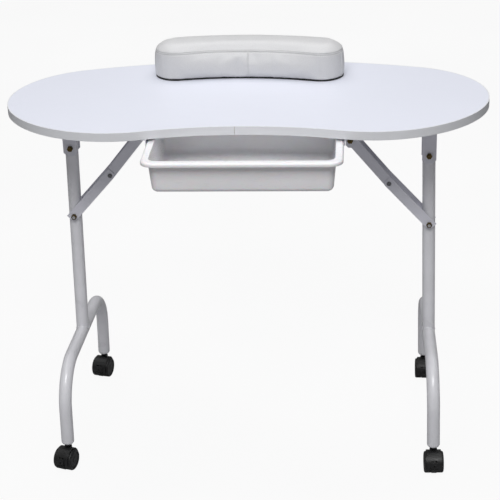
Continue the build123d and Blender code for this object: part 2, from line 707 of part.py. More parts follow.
def brake_lever():
    """A curved rocker on the front of the hood with a toe tab at its lower end."""
    rocker = ring_sector(HOOD_OUT + 0.2, LEVER_OUT, LEVER_HALF, *LEVER_ARC)
    tab = ring_sector(HOOD_OUT + 0.2, LEVER_TAB_OUT, LEVER_HALF, *LEVER_TAB_ARC)
    return rocker + tab - lever_hole()


def caster_place(name):
    """Moves a caster drawn at the origin, facing -Y, to its foot end."""
    side, end, yaw = CASTERS[name]
    x, y = swivel_point(side, end)
    return Pos(x, y, 0) * Rot(0, 0, yaw)


def build():
    save(tabletop_core(), "tabletop_core")
    save(top_layer(BAND, TOP_HEIGHT - LAMINATE, TOP_HEIGHT), "top_laminate")
    save(backing_sheet(), "backing_sheet")
    save(edge_band(), "edge_band")
    save(underside_screws(), "underside_screws")
    save(hinge_bolts(), "hinge_bolts")
    save(hinge_nuts(), "hinge_nuts")
    save(drawer_tray(), "drawer_tray")
    save(cushion_pad(), "cushion_pad")
    save(cushion_board(), "cushion_board")
    save(cushion_bottom_cloth(), "cushion_bottom_cloth")
    for side, sign in SIDES.items():
        save(leg_bracket(side), f"{side}_leg_bracket")
        save(brace_bracket(side), f"{side}_brace_bracket")
        save(runner(sign), f"{side}_drawer_runner")
        save(post(side), f"{side}_post")
        save(foot(side), f"{side}_foot")
        save(stem_sockets(side), f"{side}_stem_sockets")
        save(brace_bolt(side), f"{side}_brace_bolt")
        save(brace_nut(side), f"{side}_brace_nut")
        save(lower_link(side), f"{side}_lower_brace")
        save(upper_link(side), f"{side}_upper_brace")
        save(outer_rivets(side), f"{side}_outer_knee_rivets")
        save(inner_rivets(side), f"{side}_inner_knee_rivets")
    for name in CASTERS:
        place = caster_place(name)
        save(place * hood(), f"{name}_caster_hood")
        save(place * stem(), f"{name}_caster_stem")
        save(place * axle(), f"{name}_caster_axle")
        save(place * wheel(-1), f"{name}_wheel_a")
        save(place * wheel(1), f"{name}_wheel_b")
        save(place * brake_lever(), f"{name}_brake_lever")


os.makedirs("parts", exist_ok=True)
build()
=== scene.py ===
"""Manicure table: looks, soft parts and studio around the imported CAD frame.

Metres, +Z up, +X along the table's length, -Y towards the notch and the drawer, origin on the floor.
"""
import bmesh
import bpy
import json
import math
from mathutils import Matrix, Vector, noise
from mathutils.bvhtree import BVHTree
from mathutils.kdtree import KDTree


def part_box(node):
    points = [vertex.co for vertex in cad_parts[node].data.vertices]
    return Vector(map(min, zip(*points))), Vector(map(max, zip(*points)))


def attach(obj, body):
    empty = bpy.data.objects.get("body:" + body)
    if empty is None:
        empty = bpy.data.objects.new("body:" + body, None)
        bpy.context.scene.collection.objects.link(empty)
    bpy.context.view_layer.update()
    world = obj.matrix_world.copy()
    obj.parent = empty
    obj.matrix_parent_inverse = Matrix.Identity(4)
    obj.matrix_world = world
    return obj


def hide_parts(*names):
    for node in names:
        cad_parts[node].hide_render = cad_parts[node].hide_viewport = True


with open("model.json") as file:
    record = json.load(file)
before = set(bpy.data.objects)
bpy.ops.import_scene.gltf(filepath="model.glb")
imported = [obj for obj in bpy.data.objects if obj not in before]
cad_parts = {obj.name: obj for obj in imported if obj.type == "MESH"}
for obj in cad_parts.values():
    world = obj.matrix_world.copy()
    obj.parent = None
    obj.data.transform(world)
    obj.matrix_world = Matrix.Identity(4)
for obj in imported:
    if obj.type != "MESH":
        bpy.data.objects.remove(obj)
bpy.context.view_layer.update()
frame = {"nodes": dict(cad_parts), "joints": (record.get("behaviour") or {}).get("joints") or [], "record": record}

MM = 0.001

# ---- studio -------------------------------------------------------------------
CAMERA_AZIMUTH = math.radians(4.17)
CAMERA_ELEVATION = math.radians(25.66)
CAMERA_ROLL = math.radians(-1.77)
CAMERA_DISTANCE = 2.98198
CAMERA_TARGET = Vector((0.02271, 0.0, 0.332))
CAMERA_LENS = 105.67
CAMERA_SHIFT = (-0.0293, 0.0529)
FLOOR_SIZE = 40.0
FLOOR_SEEN = (0.99, 1.02)        # the floor's brightness to the camera
FLOOR_BOUNCE = (0.46, 0.46, 0.47)
FLOOR_PAINTED = 0.93             # share of the camera's view of the floor that is its own even glow
WORLD_FRONT = 0.24               # brightness of the surroundings ahead and behind
WORLD_SIDE = 0.06                # and to the sides
WORLD_FADE = (0.15, 0.85)        # sideways part of a direction over which it fades

# ---- noise in materials ----------------------------------------------------------
NOISE_LOW = 0.3                  # most of a noise texture's values lie between these two
NOISE_HIGH = 0.7

# ---- wrist rest ----------------------------------------------------------------
RIM_POINTS = 360
VOXEL = 3.2 * MM
SWELL_START = 1.6 * MM           # the pad starts this much smaller and swells back
BASE_INSET = 1.0 * MM            # at the table, where the cover is drawn in around the board
BASE_RISE = 7.0 * MM             # height over which the cover comes out again above its inset base
BULGE = 1.6 * MM                 # of the boxing, half-way up
COVER_OVER_CLOTH = 0.8 * MM      # gap that shows the black bottom cloth
CROWN = 8.5 * MM                 # rise of the top's middle over its edge
CROWN_WIDTH = 38 * MM
EDGE_DROP = 1.2 * MM
CREASE_ANGLES = (-30, -20, -11, 8, 172, 196)        # where the boxing creases, degrees about the middle
PLEAT_ANGLES = (-140, -128, -116, -64, -52, -38, -20, 4, 160, 196)
CREASE_DEPTHS = tuple(depth * MM for depth in (0.7, 0.5, 0.6, 0.5, 0.5, 0.6))
CREASE_WIDTH = 3.2 * MM
CREASE_MIDDLE = 0.45             # creases are deepest at this share of the boxing's height
SIDE_DEPTH = 12 * MM             # the boxing's shaping reaches this far in from the rim
SEAM_GROOVE_DEPTH = 1.6 * MM     # along the top seam
SEAM_GROOVE_WIDTH = 2.2 * MM
TUCK_DEPTH = 0.9 * MM            # where the cover turns under the board
TUCK_HEIGHT = 4 * MM
RIPPLE = 0.45 * MM               # unevenness of the top
RIPPLES_PER_METRE = 30.0
PIN_HEIGHT = 2.5 * MM            # cover below this is fixed to the board
PRESSURE = 4.0                   # inside the cover, in the simulation's own unit
CLOTH_QUALITY = 5
SWELL_CAP = 5.0 * MM
SIM_FRAMES = 20
RELAX_STEPS = 10                 # smooths out the simulation's finest wrinkles
SEAM_BELOW_TOP = 6.0 * MM        # the top seam, below the CAD solid's top face
PIPING_R = 1.2 * MM
SEAM_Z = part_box("cushion_pad")[1].z - SEAM_BELOW_TOP
# the leather's painted shade band is centred this far above and below the top seam
PAINTED_SHADE_FROM_SEAM = 1.5 * MM
BOXING_SEAM_R = 0.75 * MM
BOXING_SEAM_HALF = 1.3 * MM      # from a boxing seam's line to the ridge on either side
BOXING_SEAM_BASE = 2 * MM        # a boxing seam starts this far above the cover's lower edge
BOXING_SEAM_STEPS = 26
BOXING_GROOVE_DEPTH = 1.2 * MM
BOXING_GROOVE_WIDTH = 1.8 * MM
STITCH_PITCH = 4.2 * MM
STITCH_LENGTH = 2.9 * MM
STITCH_R = 0.28 * MM
STITCH_BELOW_SEAM = 3.0 * MM
STITCH_PROUD = 0.3               # share of its radius that a stitch is lifted off the cover
PLEAT_HEIGHTS = (9 * MM, 6 * MM, 3.5 * MM, 1.6 * MM)
PLEAT_TAPER = (0.15, 0.6, 0.9, 0.8)
PLEAT_R = 1.1 * MM
PLEAT_SINK = 0.3 * MM
RAY_START = 30 * MM              # rays towards the pad's side start this far outside the rim
RAY_LENGTH = 60 * MM
CLOTH_INSETS = (3.0 * MM, 2.0 * MM, 2.0 * MM, 3.0 * MM)
CLOTH_RISES = (0.0, 0.3 * MM, 2.2 * MM, 2.5 * MM)

# ---- weld beads ------------------------------------------------------------------
WELD_R = 1.2 * MM
WELD_POINTS = 96
WELD_RIPPLES = 26                # round the post
WELD_RIPPLE = 0.06               # share of the bead's radius
WELD_UNEVEN = 0.12
WELD_LOWEST = 0.35               # the bead's lowest point above the bar's axis, as a share of tube radius

SIDES = ("left", "right")


# =============================================================================
# materials
# =============================================================================
class Graph:
    """A node material with one Principled shader, built up call by call."""

    def __init__(self, name, roughness=0.5, metallic=0.0):
        self.material = bpy.data.materials.new(name)
        self.material.use_nodes = True
        self.tree = self.material.node_tree
        self.bsdf = self.tree.nodes["Principled BSDF"]
        self.bsdf.inputs["Roughness"].default_value = roughness
        self.bsdf.inputs["Metallic"].default_value = metallic
        self.coords = self.tree.nodes.new("ShaderNodeTexCoord").outputs["Object"]

    def put(self, socket, value):
        if isinstance(value, bpy.types.NodeSocket):
            self.tree.links.new(value, socket)
        else:
            socket.default_value = value

    def node(self, kind, inputs=(), **settings):
        made = self.tree.nodes.new(kind)
        for key, value in settings.items():
            setattr(made, key, value)
        for key, value in dict(inputs).items():
            self.put(made.inputs[key], value)
        return made

    def set(self, **inputs):
        for key, value in inputs.items():
            self.put(self.bsdf.inputs[key.replace("_", " ")], value)

    def scaled(self, scale):
        """Object coordinates stretched by an (x, y, z) scale."""
        return self.node("ShaderNodeMapping", {"Vector": self.coords, "Scale": scale}).outputs[0]

    def noise(self, size, detail=3.0, rough=0.55, vector=None, seed=0.0):
        """Noise whose largest feature is about size metres."""
        made = self.node("ShaderNodeTexNoise", {"Vector": vector or self.coords, "Scale": 1.0 / size,
                                                "Detail": detail, "Roughness": rough, "W": seed},
                         noise_dimensions="4D")
        return made.outputs["Fac"]

    def cells(self, size, feature="DISTANCE_TO_EDGE"):
        inputs = {"Vector": self.coords, "Scale": 1.0 / size}
        made = self.node("ShaderNodeTexVoronoi", inputs, feature=feature)
        return made.outputs["Distance"]

    def math(self, operation, a, b=0.0, clamp=False):
        made = self.node("ShaderNodeMath", operation=operation, use_clamp=clamp)
        self.put(made.inputs[0], a)
        self.put(made.inputs[1], b)
        return made.outputs[0]

    def ramp(self, factor, stops):
        """A colour ramp from (position, colour) stops."""
        made = self.node("ShaderNodeValToRGB", {"Fac": factor})
        elements = made.color_ramp.elements
        while len(elements) < len(stops):
            elements.new(0.5)
        for element, (position, colour) in zip(elements, stops):
            element.position = position
            element.color = (*colour, 1.0)
        return made.outputs["Color"]

    def span(self, factor, low, high, start=0.0, end=1.0):
        """Maps a factor from start..end to low..high, clamped."""
        made = self.node("ShaderNodeMapRange", {"Value": factor, "From Min": start, "From Max": end,
                                                "To Min": low, "To Max": high})
        return made.outputs["Result"]

    def spread(self, noise_factor, low, high):
        """Maps a noise's usual range to low..high."""
        return self.span(noise_factor, low, high, NOISE_LOW, NOISE_HIGH)

    def mix(self, factor, a, b):
        made = self.node("ShaderNodeMix", data_type="RGBA")
        for socket, value in zip([made.inputs[0], made.inputs[6], made.inputs[7]], [factor, a, b]):
            if isinstance(value, tuple):
                value = (*value, 1.0)
            self.put(socket, value)
        return made.outputs[2]

    def rounded(self, radius):
        """Normal of the surface with its edges rounded to this radius."""
        return self.node("ShaderNodeBevel", {"Radius": radius}, samples=6).outputs["Normal"]

    def edge_mask(self, radius, low=0.02, high=0.25):
        """1 along sharp edges and 0 on flat places."""
        flat = self.node("ShaderNodeNewGeometry").outputs["Normal"]
        inputs = {0: self.rounded(radius), 1: flat}
        product = self.node("ShaderNodeVectorMath", inputs, operation="DOT_PRODUCT")
        return self.span(self.math("SUBTRACT", 1.0, product.outputs["Value"]), 0.0, 1.0, low, high)

    def bump(self, height, distance, normal=None, strength=1.0):
        inputs = {"Height": height, "Distance": distance, "Strength": strength}
        if normal is not None:
            inputs["Normal"] = normal
        return self.node("ShaderNodeBump", inputs).outputs["Normal"]


def tone(colour, factor):
    return tuple(channel * factor for channel in colour)


def white_laminate():
    """Melamine sheet: cool white, very fine pearl texture, faint large-scale unevenness."""
    g = Graph("white_laminate")
    base = (0.775, 0.795, 0.885)
    pearl = g.noise(1.1 * MM, 2.0)
    cloud = g.noise(0.22, 3.0)
    colour = g.mix(g.span(pearl, 0.0, 1.0, 0.35, 0.65), tone(base, 0.985), tone(base, 1.01))
    shade = g.ramp(cloud, [(0.3, (0.985,) * 3), (0.7, (1.0,) * 3)])
    product = g.node("ShaderNodeMix", data_type="RGBA", blend_type="MULTIPLY")
    g.put(product.inputs[0], 1.0)
    g.put(product.inputs[6], colour)
    g.put(product.inputs[7], shade)
    scratch = g.noise(4 * MM, 2.0, vector=g.scaled((0.04, 1.0, 1.0)))
    g.set(Base_Color=product.outputs[2], Roughness=g.spread(scratch, 0.34, 0.46),
          Normal=g.bump(pearl, 0.02 * MM))
    g.set(Specular_IOR_Level=0.42)
    return g.material


def white_edge_band():
    """Extruded edge strip: slightly greyer than the top, with drawn lines along its length."""
    g = Graph("white_edge_band")
    base = (0.78, 0.79, 0.82)
    lines = g.noise(1.6 * MM, 2.0, vector=g.scaled((0.02, 0.02, 1.0)))
    blotch = g.noise(35 * MM)
    mixed = g.math("MULTIPLY_ADD", lines, 0.6)
    mixed.node.inputs[2].default_value = 0.2
    colour = g.mix(mixed, tone(base, 0.95), tone(base, 1.05))
    worn = g.edge_mask(0.7 * MM)
    colour = g.mix(g.math("MULTIPLY", worn, 0.35), colour, tone(base, 0.72))
    g.set(Base_Color=colour, Roughness=g.spread(blotch, 0.38, 0.52),
          Normal=g.bump(lines, 0.03 * MM, g.rounded(0.7 * MM)))
    return g.material


def fibreboard():
    g = Graph("fibreboard", 0.85)
    fibres = g.noise(1.5 * MM, 5.0, 0.7)
    g.set(Base_Color=g.ramp(fibres, [(0.3, (0.30, 0.20, 0.11)), (0.7, (0.52, 0.38, 0.23))]),
          Normal=g.bump(fibres, 0.15 * MM))
    return g.material


def backing_paper():
    g = Graph("backing_paper", 0.6)
    fibres = g.noise(2.5 * MM, 4.0, 0.65)
    g.set(Base_Color=g.ramp(fibres, [(0.3, (0.66, 0.66, 0.67)), (0.7, (0.72, 0.72, 0.73))]),
          Normal=g.bump(fibres, 0.03 * MM))
    return g.material


def paint(name, base, round_edge):
    """Powder coat on steel: orange peel, dust, and thinner darker paint along edges."""
    g = Graph(name)
    peel = g.noise(1.3 * MM, 2.0)
    cloud = g.noise(45 * MM, 3.0, seed=2.0)
    colour = g.mix(g.spread(cloud, 0.0, 1.0), tone(base, 0.95), tone(base, 1.03))
    specks = g.span(g.noise(2.4 * MM, 1.0, seed=5.0), 0.0, 1.0, 0.70, 0.74)
    colour = g.mix(g.math("MULTIPLY", specks, 0.25), colour, tone(base, 0.55))
    worn = g.math("MULTIPLY", g.edge_mask(round_edge), g.span(g.noise(9 * MM), 0.1, 0.5, 0.35, 0.65))
    colour = g.mix(worn, colour, tone(base, 0.60))
    g.set(Base_Color=colour, Roughness=g.spread(cloud, 0.26, 0.36),
          Normal=g.bump(peel, 0.035 * MM, g.rounded(round_edge)))
    g.set(Coat_Weight=0.45, Coat_Roughness=0.16)
    return g.material


def zinc_yellow():
    """Yellow-passivated zinc: metallic, olive to brass, uneven."""
    g = Graph("zinc_yellow", metallic=1.0)
    tint = g.noise(3.0 * MM, 3.0, 0.6)
    colour = g.ramp(tint, [(0.30, (0.035, 0.032, 0.013)), (0.48, (0.10, 0.075, 0.028)),
                           (0.62, (0.17, 0.11, 0.045)), (0.75, (0.13, 0.065, 0.04))])
    g.set(Base_Color=colour, Roughness=g.spread(g.noise(1.0 * MM), 0.24, 0.46),
          Normal=g.bump(tint, 0.05 * MM, g.rounded(0.35 * MM)))
    return g.material


def bright_steel():
    g = Graph("bright_screw", metallic=1.0)
    brushed = g.noise(0.6 * MM, 3.0)
    g.set(Base_Color=g.ramp(brushed, [(0.3, (0.50, 0.50, 0.51)), (0.7, (0.66, 0.66, 0.67))]),
          Roughness=g.spread(brushed, 0.22, 0.42), Normal=g.bump(brushed, 0.02 * MM, g.rounded(0.3 * MM)))
    return g.material


def dark_rivet():
    """Steel rivets whose paint has worn off to dark metal, mottled by noise."""
    g = Graph("dark_rivet", metallic=0.8)
    grime = g.noise(1.2 * MM, 3.0)
    g.set(Base_Color=g.ramp(grime, [(0.35, (0.07, 0.07, 0.08)), (0.65, (0.26, 0.26, 0.27))]),
          Roughness=g.spread(grime, 0.25, 0.5), Normal=g.bump(grime, 0.03 * MM, g.rounded(0.3 * MM)))
    return g.material


def white_plastic():
    """Moulded polypropylene: smooth, slightly milky, faint flow marks and a fine haze of scratches."""
    g = Graph("white_plastic")
    base = (0.90, 0.90, 0.92)
    flow = g.noise(60 * MM, 2.0, vector=g.scaled((1.0, 1.0, 3.0)))
    haze = g.noise(1.8 * MM, 3.0, vector=g.scaled((0.15, 1.0, 1.0)))
    colour = g.mix(g.spread(flow, 0.0, 1.0), tone(base, 0.975), tone(base, 1.01))
    g.set(Base_Color=colour, Roughness=g.spread(haze, 0.24, 0.40),
          Normal=g.bump(haze, 0.012 * MM, g.rounded(1.0 * MM)))
    g.set(Subsurface_Weight=0.12, Subsurface_Scale=2.0 * MM)
    return g.material


def white_leather():
    """Artificial leather: small pebbled grain, soft creases, satin finish, and a band of painted shade along the
    groove beside the top seam.
    """
    g = Graph("white_leather")
    base = (0.675, 0.675, 0.685)
    grain = g.cells(1.15 * MM)
    pores = g.noise(0.5 * MM, 2.0)
    crease = g.noise(14 * MM, 4.0, 0.6)
    colour = g.mix(g.span(grain, 0.0, 1.0, 0.0, 0.18), tone(base, 0.90), base)
    colour = g.mix(g.span(crease, 0.0, 0.22, 0.45, 0.75), colour, tone(base, 0.88))
    # Painted shade: the colour darkens towards 0.45 of the base in a band along the groove beside the top seam,
    # standing in for the shade that falls there.
    height = g.node("ShaderNodeSeparateXYZ", {0: g.coords}).outputs["Z"]
    from_seam = g.math("ABSOLUTE", g.math("SUBTRACT", height, SEAM_Z))
    from_shaded_groove = g.math("ABSOLUTE", g.math("SUBTRACT", from_seam, PAINTED_SHADE_FROM_SEAM))
    colour = g.mix(g.span(from_shaded_groove, 0.55, 0.0, 0.0, 0.9 * MM), colour, tone(base, 0.45))
    fine = g.bump(grain, 0.10 * MM)
    fine = g.bump(pores, 0.025 * MM, fine)
    g.set(Base_Color=colour, Roughness=g.spread(crease, 0.36, 0.50),
          Normal=g.bump(crease, 0.5 * MM, fine))
    g.set(Sheen_Weight=0.08, Specular_IOR_Level=0.45)
    return g.material


def thread():
    """White sewing thread, twisted."""
    g = Graph("white_thread", 0.65)
    wave = g.node("ShaderNodeTexWave", {"Vector": g.coords, "Scale": 900.0, "Distortion": 1.5},
                  wave_type="BANDS", bands_direction="DIAGONAL").outputs["Fac"]
    g.set(Base_Color=g.mix(wave, (0.60, 0.60, 0.61), (0.80, 0.80, 0.81)), Normal=g.bump(wave, 0.06 * MM))
    return g.material


def plywood():
    g = Graph("plywood", 0.75)
    rings = g.noise(3 * MM, 4.0, vector=g.scaled((0.06, 1.0, 4.0)))
    g.set(Base_Color=g.ramp(rings, [(0.3, (0.36, 0.24, 0.13)), (0.7, (0.58, 0.44, 0.28))]),
          Normal=g.bump(rings, 0.08 * MM))
    return g.material


def black_cloth():
    """Coarse woven dust cloth."""
    g = Graph("black_cloth", 0.9)
    bands = []
    for direction in ("X", "Y"):
        wave = g.node("ShaderNodeTexWave", {"Vector": g.coords, "Scale": 260.0, "Distortion": 0.6},
                      wave_type="BANDS", bands_direction=direction)
        bands.append(wave.outputs["Fac"])
    weave = g.math("MULTIPLY", bands[0], bands[1])
    g.set(Base_Color=g.ramp(weave, [(0.0, (0.006,) * 3), (1.0, (0.035,) * 3)]),
          Normal=g.bump(weave, 0.2 * MM))
    g.set(Sheen_Weight=0.2)
    return g.material


def black_moulding(name, base, rough_low, rough_high, grain):
    """Dark moulded plastic with a spark-eroded grain and scuffed edges."""
    g = Graph(name)
    texture = g.noise(grain, 2.0)
    dust = g.noise(12 * MM, 4.0, 0.6, seed=3.0)
    colour = g.mix(g.span(dust, 0.0, 0.5, 0.50, 0.80), base, tone(base, 2.0))
    worn = g.math("MULTIPLY", g.edge_mask(0.8 * MM), 0.2)
    colour = g.mix(worn, colour, tone(base, 2.6))
    g.set(Base_Color=colour, Roughness=g.spread(dust, rough_low, rough_high),
          Normal=g.bump(texture, 0.05 * MM, g.rounded(0.8 * MM)))
    return g.material


def black_steel():
    g = Graph("black_steel", metallic=0.6)
    film = g.noise(2 * MM, 3.0)
    g.set(Base_Color=g.ramp(film, [(0.3, (0.012, 0.012, 0.013)), (0.7, (0.035, 0.035, 0.037))]),
          Roughness=g.spread(film, 0.28, 0.45), Normal=g.bump(film, 0.02 * MM))
    return g.material


MATERIALS = {
    "white_laminate": white_laminate(),
    "fibreboard": fibreboard(),
    "backing_paper": backing_paper(),
    "white_edge_band": white_edge_band(),
    "grey_white_paint": paint("grey_white_paint", (0.80, 0.80, 0.88), 0.5 * MM),
    "white_paint": paint("white_paint", (0.86, 0.86, 0.90), 0.8 * MM),
    "zinc_yellow": zinc_yellow(),
    "bright_screw": bright_steel(),
    "dark_rivet": dark_rivet(),
    "white_plastic": white_plastic(),
    "white_leather": white_leather(),
    "plywood": plywood(),
    "black_cloth": black_cloth(),
    "black_plastic": black_moulding("black_plastic", (0.009, 0.009, 0.0095), 0.36, 0.50, 0.5 * MM),
    "black_nylon": black_moulding("black_nylon", (0.007, 0.007, 0.0075), 0.40, 0.54, 0.8 * MM),
    "black_steel": black_steel(),
}
THREAD = thread()


def paint_cad_nodes():
    """Every CAD node takes the material of its slot in the record."""
    for part in frame["record"]["subparts"]:
        node = frame["nodes"][part["node"]]
        node.data.materials.clear()
        node.data.materials.append(MATERIALS[part["material_slot"]])


# =============================================================================
# mesh helpers
# =============================================================================
def new_piece(name, verts, faces, material, body, smooth=True):
    mesh = bpy.data.meshes.new(name)
    mesh.from_pydata([tuple(v) for v in verts], [], faces)
    mesh.validate()
    mesh.materials.append(material)
    for polygon in mesh.polygons:
        polygon.use_smooth = smooth
    piece = bpy.data.objects.new(name, mesh)
    bpy.context.scene.collection.objects.link(piece)
    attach(piece, body)
    return piece


def tube(points, radius, closed, sides=10, taper=None):
    """Vertices and faces of a tube along points; taper gives a radius factor for each point."""
    count = len(points)
    verts, faces = [], []
    up = Vector((0, 0, 1))
    for i, point in enumerate(points):
        ahead = points[(i + 1) % count] if closed or i + 1 < count else point
        behind = points[i - 1] if closed or i > 0 else point
        along = (ahead - behind).normalized()
        side = along.cross(up)
        if side.length < 0.1:
            side = along.cross(Vector((1, 0, 0)))
        side.normalize()
        over = side.cross(along)
        r = radius * (taper[i] if taper else 1.0)
        for k in range(sides):
            angle = 2 * math.pi * k / sides
            verts.append(point + side * (r * math.cos(angle)) + over * (r * math.sin(angle)))
    for i in range(count if closed else count - 1):
        j = (i + 1) % count
        for k in range(sides):
            m = (k + 1) % sides
            faces.append((i * sides + k, i * sides + m, j * sides + m, j * sides + k))
    if not closed:
        faces.append(tuple(range(sides))[::-1])
        faces.append(tuple((count - 1) * sides + k for k in range(sides)))
    return verts, faces


def joined(parts):
    """One vertex and face list from several."""
    verts, faces = [], []
    for part_verts, part_faces in parts:
        offset = len(verts)
        verts += part_verts
        faces += [tuple(index + offset for index in face) for face in part_faces]
    return verts, faces


def resampled(loop, count):
    """A closed loop as count points, evenly spaced along its length."""
    total = sum((loop[i] - loop[i - 1]).length for i in range(len(loop)))
    step = total / count
    points, walked, target = [], 0.0, 0.0
    for i in range(len(loop)):
        a, b = loop[i], loop[(i + 1) % len(loop)]
        length = (b - a).length
        while target <= walked + length and len(points) < count:
            points.append(a.lerp(b, (target - walked) / max(length, 1e-9)))
            target += step
        walked += length
    return points


def outline(node, count):
    """The closed top outline of a prismatic CAD node, resampled, anticlockwise from above."""
    bm = bmesh.new()
    bm.from_mesh(frame["nodes"][node].data)
    bmesh.ops.remove_doubles(bm, verts=bm.verts, dist=0.01 * MM)
    top = max(v.co.z for v in bm.verts)
    rim = [e for e in bm.edges if all(abs(v.co.z - top) < 0.01 * MM for v in e.verts)
           and any(f.normal.z < 0.5 for f in e.link_faces)]
    links = {}
    for edge in rim:
        a, b = edge.verts
        links.setdefault(a, []).append(b)
        links.setdefault(b, []).append(a)
    start = min(links, key=lambda v: (round(v.co.y, 5), v.co.x))
    loop, previous, current = [], None, start
    while True:
        loop.append(current.co.copy())
        following = [v for v in links[current] if v is not previous][0]
        previous, current = current, following
        if current is start:
            break
    bm.free()
    area = sum(loop[i - 1].x * loop[i].y - loop[i].x * loop[i - 1].y for i in range(len(loop)))
    if area < 0:
        loop.reverse()
    return resampled(loop, count)


def normals_out(loop):
    """Outward horizontal normals of an anticlockwise loop."""
    count = len(loop)
    normals = []
    for i in range(count):
        along = loop[(i + 1) % count] - loop[i - 1]
        normals.append(Vector((along.y, -along.x, 0)).normalized())
    return normals


# =============================================================================
# wrist rest
# =============================================================================
def bell(distance, width):
    return math.exp(-((distance / width) ** 2))


def prism(rim, insets, heights):
    """A closed stack of rings, each the rim moved inwards, at the given heights."""
    normals = normals_out(rim)
    count = len(rim)
    verts, faces = [], []
    for inset, z in zip(insets, heights):
        for point, normal in zip(rim, normals):
            moved = point - normal * inset
            verts.append(Vector((moved.x, moved.y, z)))
    for r in range(len(insets) - 1):
        for i in range(count):
            j = (i + 1) % count
            faces.append((r * count + i, r * count + j, (r + 1) * count + j, (r + 1) * count + i))
    faces.append(tuple(range(count))[::-1])
    top = (len(insets) - 1) * count
    faces.append(tuple(top + i for i in range(count)))
    return verts, faces


def swollen_pad(rim):
    """The pad's cover, a little small, remeshed and inflated by cloth simulation."""
    low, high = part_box("cushion_pad")
    insets = (BASE_INSET, SWELL_START, SWELL_START)
    heights = (low.z + COVER_OVER_CLOTH, low.z + BASE_RISE, high.z - SWELL_START)
    verts, faces = prism(rim, insets, heights)
    pad = new_piece("wrist_rest_cover", verts, faces, MATERIALS["white_leather"], "wrist_rest")
    remesh = pad.modifiers.new("remesh", "REMESH")
    remesh.mode = "VOXEL"
    remesh.voxel_size = VOXEL
    remesh.use_smooth_shade = True
    flatten(pad)
    inflate(pad)
    return pad


def flatten(piece):
    """Bakes the piece's modifiers into its mesh."""
    graph = bpy.context.evaluated_depsgraph_get()
    baked = bpy.data.meshes.new_from_object(piece.evaluated_get(graph))
    piece.modifiers.clear()
    piece.data = baked


def inflate(pad):
    """Cloth simulation with inner pressure; the base stays put and no point moves past the cap."""
    rest = [v.co.copy() for v in pad.data.vertices]
    floor = min(co.z for co in rest)
    pin = pad.vertex_groups.new(name="pin")
    pin.add([i for i, co in enumerate(rest) if co.z < floor + PIN_HEIGHT], 1.0, "REPLACE")
    cloth = pad.modifiers.new("cloth", "CLOTH")
    cloth.settings.use_pressure = True
    cloth.settings.uniform_pressure_force = PRESSURE
    cloth.settings.quality = CLOTH_QUALITY
    cloth.settings.vertex_group_mass = "pin"
    cloth.settings.effector_weights.gravity = 0.0
    cloth.point_cache.frame_start = 1
    cloth.point_cache.frame_end = SIM_FRAMES
    scene = bpy.context.scene
    for step in range(1, SIM_FRAMES + 1):
        scene.frame_set(step)
    flatten(pad)
    for v, start in zip(pad.data.vertices, rest):
        move = v.co - start
        if move.length > SWELL_CAP:
            v.co = start + move.normalized() * SWELL_CAP
    scene.frame_set(1)


def shaped_pad(pad, rim, seams):
    """Crown above the top seam, grooves along it and down the boxing seams, tuck at the base."""
    low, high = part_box("cushion_pad")
    normals = normals_out(rim)
    middle = (low + high) / 2
    creases = []
    for angle in CREASE_ANGLES:
        ray = Vector((math.cos(math.radians(angle)), math.sin(math.radians(angle)), 0))
        creases.append(max(rim, key=lambda point: (point - middle).normalized().dot(ray)))
    relax = pad.modifiers.new("relax", "SMOOTH")
    relax.factor = 0.5
    relax.iterations = RELAX_STEPS
    divide = pad.modifiers.new("divide", "SUBSURF")
    divide.levels = 1
    divide.render_levels = 1
    flatten(pad)
    tree = KDTree(len(rim))
    for i, point in enumerate(rim):
        tree.insert((point.x, point.y, 0.0), i)
    tree.balance()
    for v in pad.data.vertices:
        co = v.co
        nearest = tree.find((co.x, co.y, 0.0))[1]
        inside = -(Vector((co.x - rim[nearest].x, co.y - rim[nearest].y, 0)).dot(normals[nearest]))
        inward = -normals[nearest]
        move = Vector((0, 0, 0))
        if inside < SIDE_DEPTH:
            move += inward * (SEAM_GROOVE_DEPTH * bell(co.z - SEAM_Z, SEAM_GROOVE_WIDTH))
            tuck = max(0.0, 1.0 - (co.z - low.z) / TUCK_HEIGHT)
            move += inward * (TUCK_DEPTH * tuck**2)
            if co.z < SEAM_Z:
                move -= inward * (BULGE * math.sin(math.pi * (co.z - low.z) / (SEAM_Z - low.z)))
            for seam in seams:
                across = math.hypot(co.x - seam.x, co.y - seam.y)
                if co.z < SEAM_Z:
                    move += inward * (BOXING_GROOVE_DEPTH * bell(across, BOXING_GROOVE_WIDTH))
            for crease, depth in zip(creases, CREASE_DEPTHS):
                across = math.hypot(co.x - crease.x, co.y - crease.y)
                if co.z < SEAM_Z:
                    fade = 1.0 - abs((co.z - low.z) / (SEAM_Z - low.z) - CREASE_MIDDLE)
                    move += inward * (depth * fade * bell(across, CREASE_WIDTH))
        if co.z > SEAM_Z:
            rise = min(1.0, max(0.0, inside) / CROWN_WIDTH)
            ripple = noise.noise(co * RIPPLES_PER_METRE) * RIPPLE
            swell = CROWN * (1.0 - (1.0 - rise) ** 2) - EDGE_DROP
            move.z += ripple * rise + swell * min(1.0, (co.z - SEAM_Z) / SEAM_BELOW_TOP)
        v.co += move
    return pad


def side_surface(tree, point, normal, height):
    """Where a horizontal line towards the pad's side meets it, at this height."""
    start = Vector((point.x, point.y, height)) + normal * RAY_START
    hit = tree.ray_cast(start, -normal, RAY_LENGTH)[0]
    return hit if hit else Vector((point.x, point.y, height))


